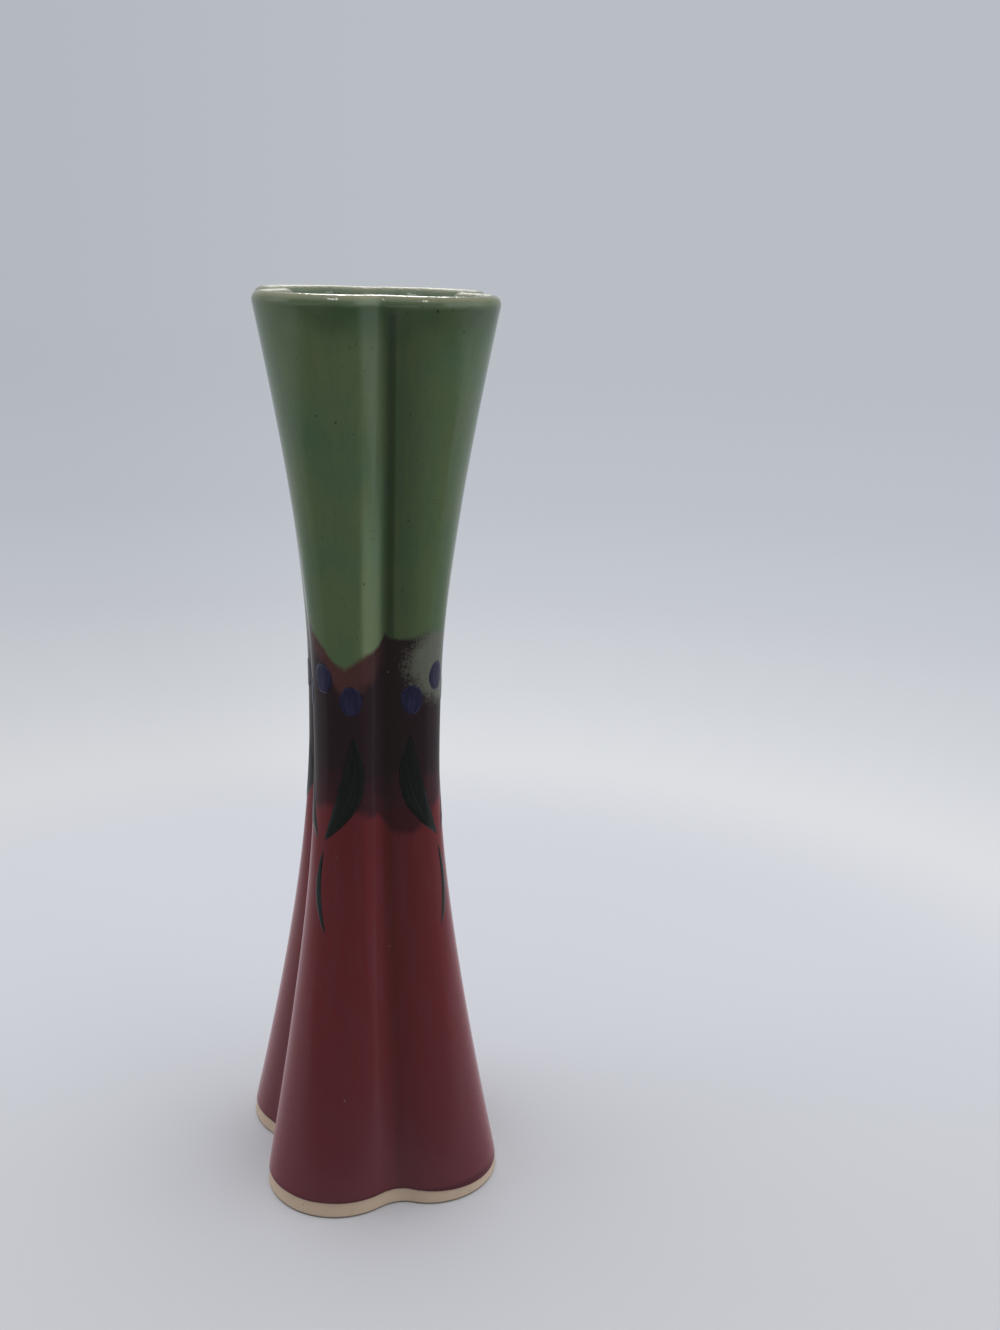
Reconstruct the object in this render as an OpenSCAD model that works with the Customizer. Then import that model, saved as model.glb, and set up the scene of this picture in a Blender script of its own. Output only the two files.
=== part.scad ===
// Ceramic vase: a waisted, four-lobed clay tube on a foot slab, dipped in two
// glazes that cross at the waist, lined with glaze and finished with brushwork.
// Origin at the centre of the foot's underside, +Z up, -Y the front groove.

/* [Overall] */
// Height of the vase from foot to lip
vase_h = 200; // [170:1:240]
// Height of the narrowest place above the foot
waist_z = 107.7; // [95:0.1:118]
// Turn of the mouth against the foot, in degrees
twist = -7.5; // [-20:0.5:20]

/* [Lobes] */
// Reach from the axis to a lobe's tip at the foot
foot_reach = 34.4; // [30:0.1:37]
// Reach from the axis to a lobe's tip at the waist
waist_reach = 17.3; // [16.5:0.1:19]
// Reach from the axis to a lobe's tip at the mouth
mouth_reach = 30.7; // [27:0.1:34]
// Radius of a lobe's round at the foot
foot_lobe_r = 16.8; // [15:0.1:19]
// Radius of a lobe's round at the waist
waist_lobe_r = 8.4; // [8:0.1:10]
// Radius of a lobe's round at the mouth
mouth_lobe_r = 16.9; // [14:0.1:19]
// Angle from the left-right axis to a lobe's centre, where 45 gives a square plan
lobe_angle = 53.2; // [42:0.1:58]

/* [Grooves] */
// Radius of the hollow between two lobes at the foot
foot_groove_r = 9.4; // [4:0.1:14]
// Radius of the hollow between two lobes at the waist
waist_groove_r = 2.5; // [1:0.1:6]
// Radius of the hollow between two lobes at the mouth
mouth_groove_r = 1.5; // [1:0.1:10]

/* [Clay] */
// Thickness of the clay wall
wall_t = 3.6; // [2.5:0.1:4.2]
// Thickness of the foot slab, whose edge is the bare clay band
slab_t = 3.4; // [2.5:0.1:6]
// Bevel at the foot slab's lower edge
slab_bevel = 0.5; // [0.3:0.1:1]

/* [Glaze] */
// Thickness of one coat of glaze
glaze_t = 0.4; // [0.3:0.05:0.6]
// Height of the green coat's lower edge
green_low_z = 91; // [84:1:104]
// Height of the red coat's upper edge
red_high_z = 131; // [124:1:150]
// How far the two coats stand proud where they cross
cross_rise = 0.2; // [0.1:0.05:0.3]

/* [Brushwork] */
// How far a brush mark stands proud of the glaze
mark_rise = 0.2; // [0.1:0.05:0.4]
// How deep a brush mark has sunk into the glaze
mark_sink = 0.1; // [0.1:0.01:0.2]
// Height of the place where a sprig's leaves meet
sprig_z = 84; // [80:1:90]
// Length of a sprig's stem
stem_len = 19; // [10:1:24]
// Width of a sprig's stem
stem_w = 1.9; // [1:0.1:2.5]
// Rise of the long leaf
long_leaf_len = 25; // [18:1:27]
// Rise of the short leaf
short_leaf_len = 18; // [12:1:20]
// Width of a leaf
leaf_w = 6; // [4:0.1:6.5]
// Sideways reach of a leaf's tip
leaf_reach = 6.5; // [4:0.1:7.5]
// Height of the middle berry
berry_z = 121; // [116:1:126]
// Height of a berry
berry_len = 6.8; // [5:0.1:7.5]
// Width of a berry
berry_w = 5.4; // [4:0.1:5.8]
// Sideways step from one berry to the next
berry_step = 6.4; // [6:0.1:7]
// Drop from the middle berry to its neighbours
berry_drop = 4.5; // [3:0.1:6]

/* [Hidden] */

// Colours of the clay, the glazes and the brushed pigments
bare_clay = [0.82, 0.77, 0.68];
lining_green = [0.42, 0.55, 0.43];
green_coat = [0.31, 0.42, 0.30];
plum_coat = [0.20, 0.11, 0.14];
red_coat = [0.45, 0.10, 0.13];
black_pigment = [0.06, 0.07, 0.07];
blue_pigment = [0.15, 0.18, 0.42];

// Facets: steps along a lobe's round, along half a groove and along the lip
lobe_steps = 10;
groove_steps = 2;
lip_steps = 4;
bead_steps = 2;
quarter_steps = lobe_steps + 2 * groove_steps;
ring_steps = 4 * quarter_steps;
groove_share = groove_steps / quarter_steps;

// Rows of facets up the red coat, the crossing and the green coat
red_rows = 9;
cross_rows = 5;
green_rows = 6;

// Depths below the glazed outside: clay outside, clay inside, glazed inside
clay_out = glaze_t;
clay_in = glaze_t + wall_t;
bore_in = clay_in + glaze_t;
lip_mid = glaze_t + wall_t / 2;
lip_z = vase_h - lip_mid;
floor_z = slab_t + glaze_t;

// A size that is one value at the foot, another at the waist and another at the
// mouth follows a hyperbola: straight near the ends and round at the waist.
function flare(z, foot, waist, mouth) =
    let (
        share = z < waist_z ? (waist_z - z) / waist_z : (z - waist_z) / (vase_h - waist_z),
        end = z < waist_z ? foot : mouth
    )
    sqrt(waist * waist + (end * end - waist * waist) * share * share);

function groove_r(z) = flare(z, foot_groove_r, waist_groove_r, mouth_groove_r);
function lobe_r(z) = flare(z, foot_lobe_r, waist_lobe_r, mouth_lobe_r);
function lobe_centre(z) =
    (flare(z, foot_reach, waist_reach, mouth_reach) - lobe_r(z)) * [cos(lobe_angle), sin(lobe_angle)];

// Distance from a lobe's centre line to the groove circle that touches two lobes
function groove_gap(z, half_space) = sqrt(pow(lobe_r(z) + groove_r(z), 2) - half_space * half_space);

// Angles of the half grooves at the front or back, and at a side
function front_turn(z) = atan2(lobe_centre(z)[0], groove_gap(z, lobe_centre(z)[0]));
function side_turn(z) = atan2(lobe_centre(z)[1], groove_gap(z, lobe_centre(z)[1]));

// A point of one quarter of the outline, from the front groove (way 0) round a
// lobe to the side groove (way 1), at a depth below the glazed outside.
function quarter_point(way, z, depth) =
    let (
        centre = lobe_centre(z),
        round_r = lobe_r(z) - depth,
        hollow_r = groove_r(z) + depth,
        front = front_turn(z),
        side = side_turn(z)
    )
    way < groove_share
        ? let (a = front * way / groove_share)
          [hollow_r * sin(a), centre[1] + groove_gap(z, centre[0]) - hollow_r * cos(a)]
        : way <= 1 - groove_share
            ? let (
                part = (way - groove_share) / (1 - 2 * groove_share),
                a = (90 + front) * (1 - part) - side * part
              )
              centre + round_r * [cos(a), sin(a)]
            : let (a = side * (1 - way) / groove_share)
              [centre[0] + groove_gap(z, centre[1]) - hollow_r * cos(a), hollow_r * sin(a)];

// A point of the whole skin: way counts quarters round from the front groove
function skin_point(way, z, depth) =
    let (
        quarter = floor(way) % 4,
        local = way - floor(way),
        p = quarter_point(quarter % 2 == 0 ? local : 1 - local, z, depth),
        x = quarter < 2 ? p[0] : -p[0],
        y = quarter == 0 || quarter == 3 ? -p[1] : p[1],
        a = twist * z / vase_h
    )
    [x * cos(a) - y * sin(a), x * sin(a) + y * cos(a), z];

// A profile is a list of [height, depth] pairs, outside upwards first
function ring_points(profile) =
    [for (p = profile, i = [0 : ring_steps - 1]) skin_point(i / quarter_steps, p[0], p[1])];

// Two facets of a band between two rings, with the same diagonal going up or down
function band_facets(lower, upper, i, rising) =
    let (
        next = (i + 1) % ring_steps,
        a = lower * ring_steps + i,
        b = lower * ring_steps + next,
        c = upper * ring_steps + next,
        d = upper * ring_steps + i
    )
    rising ? [[a, d, c], [a, c, b]] : [[a, d, b], [d, c, b]];

function band_faces(profile, pairs) =
    [for (pair = pairs, i = [0 : ring_steps - 1],
          f = band_facets(pair[0], pair[1], i, profile[pair[1]][0] >= profile[pair[0]][0])) f];

// A hollow wall whose closed profile runs all the way round the lobes
module lobed_wall(profile) {
    last = len(profile) - 1;
    pairs = [for (j = [0 : last]) [j, j == last ? 0 : j + 1]];
    polyhedron(ring_points(profile), band_faces(profile, pairs), convexity = 8);
}

// A solid or a cup, closed by a flat cap at the profile's first and last rings
module lobed_solid(profile) {
    last = len(profile) - 1;
    pairs = [for (j = [0 : last - 1]) [j, j + 1]];
    first_cap = [for (i = [0 : ring_steps - 1]) i];
    last_cap = [for (i = [ring_steps - 1 : -1 : 0]) last * ring_steps + i];
    polyhedron(
        ring_points(profile),
        concat(band_faces(profile, pairs), [first_cap], [last_cap]),
        convexity = 8
    );
}

// Extra thickness of the glaze where the two coats cross, none at the band's edges
function cross_depth(z) = -cross_rise * sin(180 * (z - green_low_z) / (red_high_z - green_low_z));

function levels(low, high, rows) = [for (j = [0 : rows]) low + (high - low) * j / rows];
function inner_levels(low, high, rows) = [for (j = [1 : rows - 1]) low + (high - low) * j / rows];

// Heights of the rings that every layer of the wall shares, from the slab to the lip
wall_levels = concat(
    levels(slab_t, green_low_z, red_rows),
    inner_levels(green_low_z, red_high_z, cross_rows),
    levels(red_high_z, lip_z, green_rows)
);

function at_depth(heights, depth) = [for (z = heights) [z, depth]];
function reversed(list) = [for (i = [len(list) - 1 : -1 : 0]) list[i]];

// Part of the lip's round, by angle from the outside over the crest to the inside
function lip_arc(radius, from, to) =
    [for (j = [0 : lip_steps])
        let (a = from + (to - from) * j / lip_steps)
        [lip_z + radius * sin(a), lip_mid - radius * cos(a)]];

function without_first(list) = [for (i = [1 : len(list) - 1]) list[i]];
function without_last(list) = [for (i = [0 : len(list) - 2]) list[i]];

module foot_slab() {
    color(bare_clay)
        lobed_solid([[0, clay_out + slab_bevel], [slab_bevel, clay_out], [slab_t, clay_out]]);
}

module clay_wall() {
    color(bare_clay)
        lobed_wall(concat(
            at_depth(wall_levels, clay_out),
            without_first(lip_arc(wall_t / 2, 0, 90)),
            without_first(lip_arc(wall_t / 2, 90, 180)),
            without_first(reversed(at_depth(wall_levels, clay_in)))
        ));
}

// The lining covers the clay wall's inside and the top of the foot slab
module lining_glaze() {
    inside_levels = [for (z = wall_levels) if (z > floor_z + glaze_t) z];
    color(lining_green)
        lobed_solid(concat(
            at_depth(wall_levels, clay_in),
            without_first(reversed(lip_arc(wall_t / 2, 90, 180))),
            lip_arc(lip_mid, 90, 180),
            without_first(reversed(at_depth(inside_levels, bore_in))),
            [[floor_z + glaze_t, bore_in], [floor_z, bore_in + glaze_t]]
        ));
}

// The red coat ends in a round bead just above the bare edge of the foot slab
module red_glaze() {
    covered = levels(slab_t, green_low_z, red_rows);
    bead = [for (j = [0 : bead_steps])
        let (a = 90 * j / bead_steps)
        [slab_t + glaze_t * (1 - cos(a)), glaze_t * (1 - sin(a))]];
    color(red_coat)
        lobed_wall(concat(
            bead,
            at_depth(without_first(covered), 0),
            without_last(reversed(at_depth(covered, clay_out)))
        ));
}

module overlap_glaze() {
    covered = levels(green_low_z, red_high_z, cross_rows);
    color(plum_coat)
        lobed_wall(concat(
            [for (z = covered) [z, cross_depth(z)]],
            reversed(at_depth(covered, clay_out))
        ));
}

module green_glaze() {
    covered = levels(red_high_z, lip_z, green_rows);
    color(green_coat)
        lobed_wall(concat(
            at_depth(covered, 0),
            without_first(lip_arc(lip_mid, 0, 90)),
            reversed(lip_arc(wall_t / 2, 0, 90)),
            without_first(reversed(at_depth(covered, clay_out)))
        ));
}

// Where a brush mark lies: the skin itself, or the thicker crossing of the coats
function coat_depth(z) = z > green_low_z && z < red_high_z ? cross_depth(z) : 0;

// A point on the lobe of one quarter, a distance sideways from the lobe's crest
function lobe_point(quarter, side, z, depth) =
    let (round_len = lobe_r(z) * PI * (90 + front_turn(z) + side_turn(z)) / 180)
    skin_point(
        quarter + 0.5 + (quarter % 2 == 0 ? side : -side) * (1 - 2 * groove_share) / round_len,
        z,
        coat_depth(z) + depth
    );

// Facets of a brush mark: stations along it, and the shares of its width and
// rise at the points round each station
mark_stations = 13;
mark_width_shares = [-1, -0.6, 0, 0.6, 1, 0.5, 0, -0.5];
mark_rise_shares = [-1, 0.8, 1, 0.8, -1, -1, -1, -1];
tip_share = 0.08;

// A mark of one brush stroke from one place on a lobe to another, bowed sideways.
// A fullness of 0.5 is an oval dab, and of 1 and more a leaf or a hairline.
module brush_mark(quarter, from, to, bow, width, fullness) {
    round_points = len(mark_width_shares);
    along = (to - from) / norm(to - from);
    across = [along[1], -along[0]];
    points = [for (k = [0 : mark_stations])
        let (
            part = (1 - cos(180 * k / mark_stations)) / 2,
            swell = max(pow(sin(180 * part), fullness), tip_share),
            middle = from + (to - from) * part + across * bow * sin(180 * part)
        )
        for (i = [0 : round_points - 1])
            let (
                place = middle + across * mark_width_shares[i] * swell * width / 2,
                lift = mark_rise_shares[i]
            )
            lobe_point(quarter, place[0], place[1], lift > 0 ? -mark_rise * lift * swell : mark_sink)];
    sides = [for (k = [0 : mark_stations - 1], i = [0 : round_points - 1])
        let (
            next = (i + 1) % round_points,
            a = k * round_points + i,
            b = k * round_points + next,
            c = (k + 1) * round_points + next,
            d = (k + 1) * round_points + i
        )
        for (f = quarter % 2 == 0 ? [[a, b, c], [a, c, d]] : [[a, c, b], [a, d, c]]) f];
    first_cap = [for (i = [0 : round_points - 1]) i];
    last_cap = [for (i = [0 : round_points - 1]) mark_stations * round_points + i];
    caps = quarter % 2 == 0 ? [reversed(first_cap), last_cap] : [first_cap, reversed(last_cap)];
    polyhedron(points, concat(sides, caps), convexity = 4);
}

// One sprig stands on every lobe, with a stem, a long leaf and a short leaf
module black_leaves() {
    joint = [0, sprig_z];
    color(black_pigment)
        for (quarter = [0 : 3]) {
            brush_mark(quarter, joint - [stem_w, stem_len + stem_w], joint - [0, stem_w], stem_w, stem_w, 1);
            brush_mark(quarter, joint, joint + [-leaf_reach, long_leaf_len], -leaf_w / 2, leaf_w, 1.2);
            brush_mark(quarter, joint + [stem_w, 0], joint + [leaf_reach, short_leaf_len], leaf_w / 2, leaf_w, 1.2);
        }
}

// Three berries hang in an arc above every sprig
module blue_berries() {
    color(blue_pigment)
        for (quarter = [0 : 3], place = [-1, 0, 1]) {
            middle = [place * berry_step, berry_z - abs(place) * berry_drop];
            reach = [0, berry_len / 2];
            brush_mark(quarter, middle - reach, middle + reach, 0, berry_w, 0.5);
        }
}

foot_slab();
clay_wall();
lining_glaze();
red_glaze();
overlap_glaze();
green_glaze();
black_leaves();
blue_berries();
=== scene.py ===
# %% [markdown]
# # A dipped and brushed ceramic vase
# The real object is a tall studio vase. Its clay wall has four lobes, a narrow waist and a
# flared foot and mouth. The lower half was dipped in a red glaze and the upper half in a green
# one, the two coats cross in a dark plum band, and a few marks were brushed over it.
# This lesson starts from the packed CAD model, which fixes every size, and builds smooth pieces
# with real glaze around it. Every cell makes one thing and prints what it made or measured.

# %% Load the packed model as the fixed frame
from math import cos, hypot, pi, radians, sin
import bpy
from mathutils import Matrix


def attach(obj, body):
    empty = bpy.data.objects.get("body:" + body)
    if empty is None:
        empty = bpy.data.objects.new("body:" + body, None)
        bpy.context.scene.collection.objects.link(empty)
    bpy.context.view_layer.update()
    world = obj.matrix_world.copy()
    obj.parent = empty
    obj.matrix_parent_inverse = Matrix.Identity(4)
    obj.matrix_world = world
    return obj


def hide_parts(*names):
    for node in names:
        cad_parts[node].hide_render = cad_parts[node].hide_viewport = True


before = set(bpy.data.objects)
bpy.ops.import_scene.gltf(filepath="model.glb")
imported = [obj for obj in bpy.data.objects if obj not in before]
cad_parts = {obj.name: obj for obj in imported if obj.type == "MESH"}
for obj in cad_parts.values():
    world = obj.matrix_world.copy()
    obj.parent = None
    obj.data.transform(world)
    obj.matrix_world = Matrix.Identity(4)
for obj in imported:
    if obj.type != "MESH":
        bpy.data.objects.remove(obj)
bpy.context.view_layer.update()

from types import SimpleNamespace

import bpy
from mathutils import Matrix, Vector

scene = bpy.context.scene
print("CAD nodes:", sorted(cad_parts))

# %% [markdown]
# ## The sizes of the vase
# The vase is measured in metres here, because Blender and the CAD frame both count in metres.
# The numbers are the CAD model's own sizes. They are written once and handed to the node trees
# as named inputs, so that a reader can find the foot, the waist and the mouth in one place.

# %% Sizes
MM = 0.001
SIZES = {
    "Height": 200 * MM,
    "Waist height": 107.7 * MM,
    "Twist": radians(-7.5),
    "Lobe angle": radians(53.2),
    "Groove share": 1 / 7,
    "Crossing low": 91 * MM,
    "Crossing high": 131 * MM,
    "Crossing rise": 0.2 * MM,
    "Unevenness": 0.12 * MM,
    "Crease shift": 1.7 * MM,
    "Seed": 4.0,
}
for part, in_mm in {
    "reach": (34.4, 17.3, 30.7),
    "lobe": (16.8, 8.4, 16.9),
    "groove": (9.4, 2.5, 1.5),
    "crease": (0.35, 0.65, 0.95),
    "crease reach": (6.5, 6.0, 8.5),
}.items():
    SIZES.update({f"{end} {part}": k * MM for end, k in zip(("Foot", "Waist", "Mouth"), in_mm)})
WALL = 3.6 * MM
SLAB = 3.4 * MM
SLAB_BEVEL = 0.5 * MM
GLAZE = 0.4 * MM
CLAY_OUT = GLAZE
CLAY_IN = GLAZE + WALL
BORE = CLAY_IN + GLAZE
LIP_MID = GLAZE + WALL / 2
LIP_Z = SIZES["Height"] - LIP_MID
FLOOR_Z = SLAB + GLAZE
FACET_LOSS = 0.05 * MM     # the CAD's flat facets cut this much off its curves
DIP_LOW = SIZES["Crossing low"]
DIP_HIGH = SIZES["Crossing high"]
print("lip starts at", round(LIP_Z / MM, 2), "mm and the glazed floor lies at", FLOOR_Z / MM, "mm")

# %% [markdown]
# ## A bench for node trees
# Glazes and lobes both come from rules, and in Blender a rule is a tree of nodes. Nodes that
# are placed by hand in code are hard to read, so two small classes do the wiring. A Wire wraps
# one socket and understands plus, minus, times and so on, which lets a rule read as it would
# on paper. A Bench adds any other node from its type, its settings and its sockets.

# %% Wires
class Wire:
    """One output socket. Plain sums on wires add the Math nodes that work them out."""

    def __init__(self, bench, socket):
        self.bench = bench
        self.socket = socket

    def maths(self, operation, *others):
        return self.bench.maths(operation, self, *others)

    def output(self, name):
        """Another output of the same node."""
        return Wire(self.bench, self.socket.node.outputs[name])

    def axis(self, name):
        """One of a vector's three numbers."""
        return self.bench.node("ShaderNodeSeparateXYZ", None, {0: self}).output(name)

    def rise(self, low, high, soft=True):
        """0 below the low value and 1 above the high one, with a soft or a straight ramp."""
        settings = {"interpolation_type": "SMOOTHSTEP" if soft else "LINEAR", "clamp": True}
        sockets = {0: self, 1: low, 2: high, 3: 0.0, 4: 1.0}
        return self.bench.node("ShaderNodeMapRange", settings, sockets)

    def fall(self, low, high, soft=True):
        """1 below the low value and 0 above the high one."""
        return 1.0 - self.rise(low, high, soft)

    def blend(self, first, second):
        """A number that goes from the first to the second as this share goes from 0 to 1."""
        sockets = {0: self, 2: first, 3: second}
        return self.bench.node("ShaderNodeMix", {"data_type": "FLOAT"}, sockets)

    def tint(self, first, second):
        """The same for colours, given as three numbers or as wires."""
        first, second = (c if isinstance(c, Wire) else (*c, 1.0) for c in (first, second))
        settings = {"data_type": "RGBA", "clamp_factor": True}
        return self.bench.node("ShaderNodeMix", settings, {0: self, 6: first, 7: second}, 2)

    def __add__(self, other):
        return self.maths("ADD", other)

    def __radd__(self, other):
        return self.bench.maths("ADD", other, self)

    def __sub__(self, other):
        return self.maths("SUBTRACT", other)

    def __rsub__(self, other):
        return self.bench.maths("SUBTRACT", other, self)

    def __mul__(self, other):
        return self.maths("MULTIPLY", other)

    def __rmul__(self, other):
        return self.bench.maths("MULTIPLY", other, self)

    def __truediv__(self, other):
        return self.maths("DIVIDE", other)

    def __rtruediv__(self, other):
        return self.bench.maths("DIVIDE", other, self)

    def __lt__(self, other):
        return self.maths("LESS_THAN", other)

    def __gt__(self, other):
        return self.maths("GREATER_THAN", other)


print("a wire understands", [name for name in vars(Wire) if not name.startswith("_")])

# %% The bench
class Bench:
    """A node tree to work on."""

    def __init__(self, tree):
        self.tree = tree

    def node(self, kind, settings=None, sockets=None, output=0):
        """Adds a node: its settings first, ramp stops included, then its values or links."""
        made = self.tree.nodes.new(kind)
        for name, value in (settings or {}).items():
            if name == "stops":
                self.set_stops(made.color_ramp, value)
            else:
                setattr(made, name, value)
        for key, value in (sockets or {}).items():
            if isinstance(value, Wire):
                self.tree.links.new(value.socket, made.inputs[key])
            else:
                made.inputs[key].default_value = value
        return Wire(self, made.outputs[output]) if len(made.outputs) else made

    def set_stops(self, ramp, stops):
        while len(ramp.elements) < len(stops):
            ramp.elements.new(0.5)
        for element, (place, colour) in zip(ramp.elements, stops):
            element.position = place
            element.color = (*colour, 1.0)

    def maths(self, operation, *values):
        return self.node("ShaderNodeMath", {"operation": operation}, dict(enumerate(values)))

    def vector(self, x, y, z):
        return self.node("ShaderNodeCombineXYZ", None, {0: x, 1: y, 2: z})

    def vector_maths(self, operation, *values, output=0):
        settings = {"operation": operation}
        return self.node("ShaderNodeVectorMath", settings, dict(enumerate(values)), output)

    def along(self, vector, direction):
        """How far a vector reaches along a fixed direction."""
        return self.vector_maths("DOT_PRODUCT", vector, tuple(direction), output="Value")

    def noise(self, place, scale, detail=2.0, roughness=0.5, distortion=0.0):
        """Soft noise from 0 to 1, mostly near 0.5."""
        sockets = {"Vector": place, "Scale": scale, "Detail": detail, "Roughness": roughness,
                   "Distortion": distortion}
        return self.node("ShaderNodeTexNoise", {"noise_dimensions": "3D"}, sockets)


print("a bench understands", [name for name in vars(Bench) if not name.startswith("_")])

# %% [markdown]
# ## The rule of the lobed skin
# Seen from above, the vase is four round lobes joined by four hollows, like a clover leaf. Each
# size of that outline is one value at the foot, another at the waist and another at the mouth,
# and follows a hyperbola in between. A point of the skin is given by its way round the outline,
# from 0 to 4 with a groove at each whole number, its height, and its depth under the glazed
# surface. One could push a mesh about by hand until it looks right, but a rule gives the same
# skin to every coat, so the coats lie on each other as real coats do.

# %% The arcs of the outline
def flare(sizes, height, part):
    """A size that is one value at the foot, another at the waist and another at the mouth."""
    waist_height = sizes["Waist height"]
    below = height < waist_height
    span = below.blend(sizes["Height"] - waist_height, waist_height)
    share = (height - waist_height) / span
    end = below.blend(sizes["Mouth " + part], sizes["Foot " + part])
    waist = sizes["Waist " + part]
    return (waist * waist + (end * end - waist * waist) * share * share).maths("SQRT")


def outline_arcs(sizes, height):
    """The radii, centres and turning angles of the outline's arcs at one height."""
    lobe = flare(sizes, height, "lobe")
    groove = flare(sizes, height, "groove")
    out = flare(sizes, height, "reach") - lobe
    across = out * sizes["Lobe angle"].maths("COSINE")
    deep = out * sizes["Lobe angle"].maths("SINE")
    both = (lobe + groove) * (lobe + groove)
    front_gap = (both - across * across).maths("SQRT")
    side_gap = (both - deep * deep).maths("SQRT")
    return SimpleNamespace(
        lobe=lobe, groove=groove, across=across, deep=deep, front_gap=front_gap,
        side_gap=side_gap, front=across.maths("ARCTAN2", front_gap),
        side=deep.maths("ARCTAN2", side_gap),
    )


def way_parts(sizes, arcs, way):
    """Where a way round the outline lies: its quarter, its arc, and its angle on that arc."""
    share = sizes["Groove share"]
    quarter = way.maths("FLOOR").maths("FLOORED_MODULO", 4.0)
    mirrored = quarter.maths("FLOORED_MODULO", 2.0)
    local = mirrored.blend(way.maths("FRACT"), 1.0 - way.maths("FRACT"))
    in_front, in_side = local < share, local > 1.0 - share
    part = (local - share) / (1.0 - share * 2.0)
    return SimpleNamespace(
        quarter=quarter, in_front=in_front, in_side=in_side,
        on_lobe=1.0 - in_front - in_side,
        front_angle=arcs.front * local / share,
        side_angle=arcs.side * (1.0 - local) / share,
        lobe_angle=(arcs.front + pi / 2) * (1.0 - part) - arcs.side * part,
    )


print("the outline rule covers", len(SIZES), "named sizes")

# %% A point of the skin
def groove_distance(sizes, arcs, part, way):
    """How far a point lies past the nearest crease, which runs a little beside its groove."""
    past_front = arcs.groove * arcs.front + arcs.lobe * (arcs.front + pi / 2 - part.lobe_angle)
    past_side = arcs.groove * arcs.side + arcs.lobe * (arcs.side + part.lobe_angle)
    plain = (
        part.in_front * arcs.groove * part.front_angle
        + part.in_side * arcs.groove * part.side_angle
        + part.on_lobe * past_front.maths("MINIMUM", past_side)
    )
    past = (way - way.maths("ROUND")) > 0.0
    return plain * (past * 2.0 - 1.0) - sizes["Crease shift"]


def skin_place(sizes, arcs, part, height, depth, shrink=1.0):
    """The place of a point of the skin, as a vector."""
    lobe_r = arcs.lobe - depth - FACET_LOSS
    hollow_r = arcs.groove + depth + FACET_LOSS
    front_hollow = arcs.deep + arcs.front_gap - hollow_r * part.front_angle.maths("COSINE")
    side_hollow = arcs.across + arcs.side_gap - hollow_r * part.side_angle.maths("COSINE")
    x = (
        part.in_front * hollow_r * part.front_angle.maths("SINE")
        + part.on_lobe * (arcs.across + lobe_r * part.lobe_angle.maths("COSINE"))
        + part.in_side * side_hollow
    )
    y = (
        part.in_front * front_hollow
        + part.on_lobe * (arcs.deep + lobe_r * part.lobe_angle.maths("SINE"))
        + part.in_side * hollow_r * part.side_angle.maths("SINE")
    )
    x = x * (1.0 - 2.0 * (part.quarter > 1.5)) * shrink
    y = y * (2.0 * (part.quarter > 0.5) * (part.quarter < 2.5) - 1.0) * shrink
    turn = sizes["Twist"] * height / sizes["Height"]
    turn_cos, turn_sin = turn.maths("COSINE"), turn.maths("SINE")
    return x.bench.vector(x * turn_cos - y * turn_sin, x * turn_sin + y * turn_cos, height)


print("a point of the skin is set by its way, its height and its depth")

# %% [markdown]
# ## What the hand adds to the rule
# A thrown or pressed pot is never as even as its rule. The coats swell where they cross, the
# skin wavers by a tenth of a millimetre, and a crease is pressed along each groove. Creases and
# wavering only go inwards, so that no size grows. Noise that is read on a plain ring comes back
# to where it began, so it leaves no seam.

# %% Swell, unevenness, creases and tongues
UNEVEN_PITCH = 22 * MM
UNEVEN_RADIUS = 1.6


def crossing_swell(sizes, height):
    """How far the skin stands proud where the two coats cross: nothing at the band's edges."""
    share = height.rise(sizes["Crossing low"], sizes["Crossing high"], soft=False)
    wave = (share * pi).maths("SINE")
    return sizes["Crossing rise"] * wave * wave


def ring_of(way):
    """A way round the outline as a place on a circle of radius 1."""
    angle = way * (pi / 2)
    return angle.maths("COSINE"), angle.maths("SINE")


def ring_noise(sizes, way, radius, height, detail):
    """Noise round the vase: the wider its ring, the shorter its waves."""
    x, y = ring_of(way)
    place = way.bench.vector(x * radius, y * radius, height + sizes["Seed"])
    return way.bench.noise(place, 1.0, detail)


def hand_hollow(sizes, way, height, past):
    """How far the hand pressed the skin in, from a point's distance past its crease."""
    crease = flare(sizes, height, "crease")
    reach = flare(sizes, height, "crease reach")
    pressed = crease * (past.maths("ABSOLUTE") / reach).fall(0.0, 1.0)
    uneven = ring_noise(sizes, way, UNEVEN_RADIUS, height / UNEVEN_PITCH, 1.0)
    return sizes["Unevenness"] * uneven + pressed


def turn_from(ring, way):
    """How far a place on the ring lies from a given way round the outline, in quarters."""
    facing = ring[0] * cos(way * pi / 2) + ring[1] * sin(way * pi / 2)
    return facing.maths("MINIMUM", 1.0).maths("MAXIMUM", -1.0).maths("ARCCOSINE") / (pi / 2)


def tongues(ring, places, soft=True):
    """The sum of tongues round the vase, each given by its way, its half width and its rise."""
    return sum(turn_from(ring, way).fall(0.0, half, soft) * rise for way, half, rise in places)


print("the creases are up to", SIZES["Mouth crease"] / MM, "mm deep")

# %% [markdown]
# ## The tree that wraps a layer round the lobes
# Every layer of the vase, be it clay or glaze, is a thin closed profile that goes all the way
# round the outline. So one node tree makes them all: it sweeps a profile round a circle, and
# then sets each point by the outline rule. A profile point carries its height, its depth, a
# shrink that closes a floor at the axis, and a mark that says whether it is an outer skin. The
# dip lines of the real coats wander up and down, so the tree also lifts and lowers the rows
# near the two dip lines and near the foot.

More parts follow.
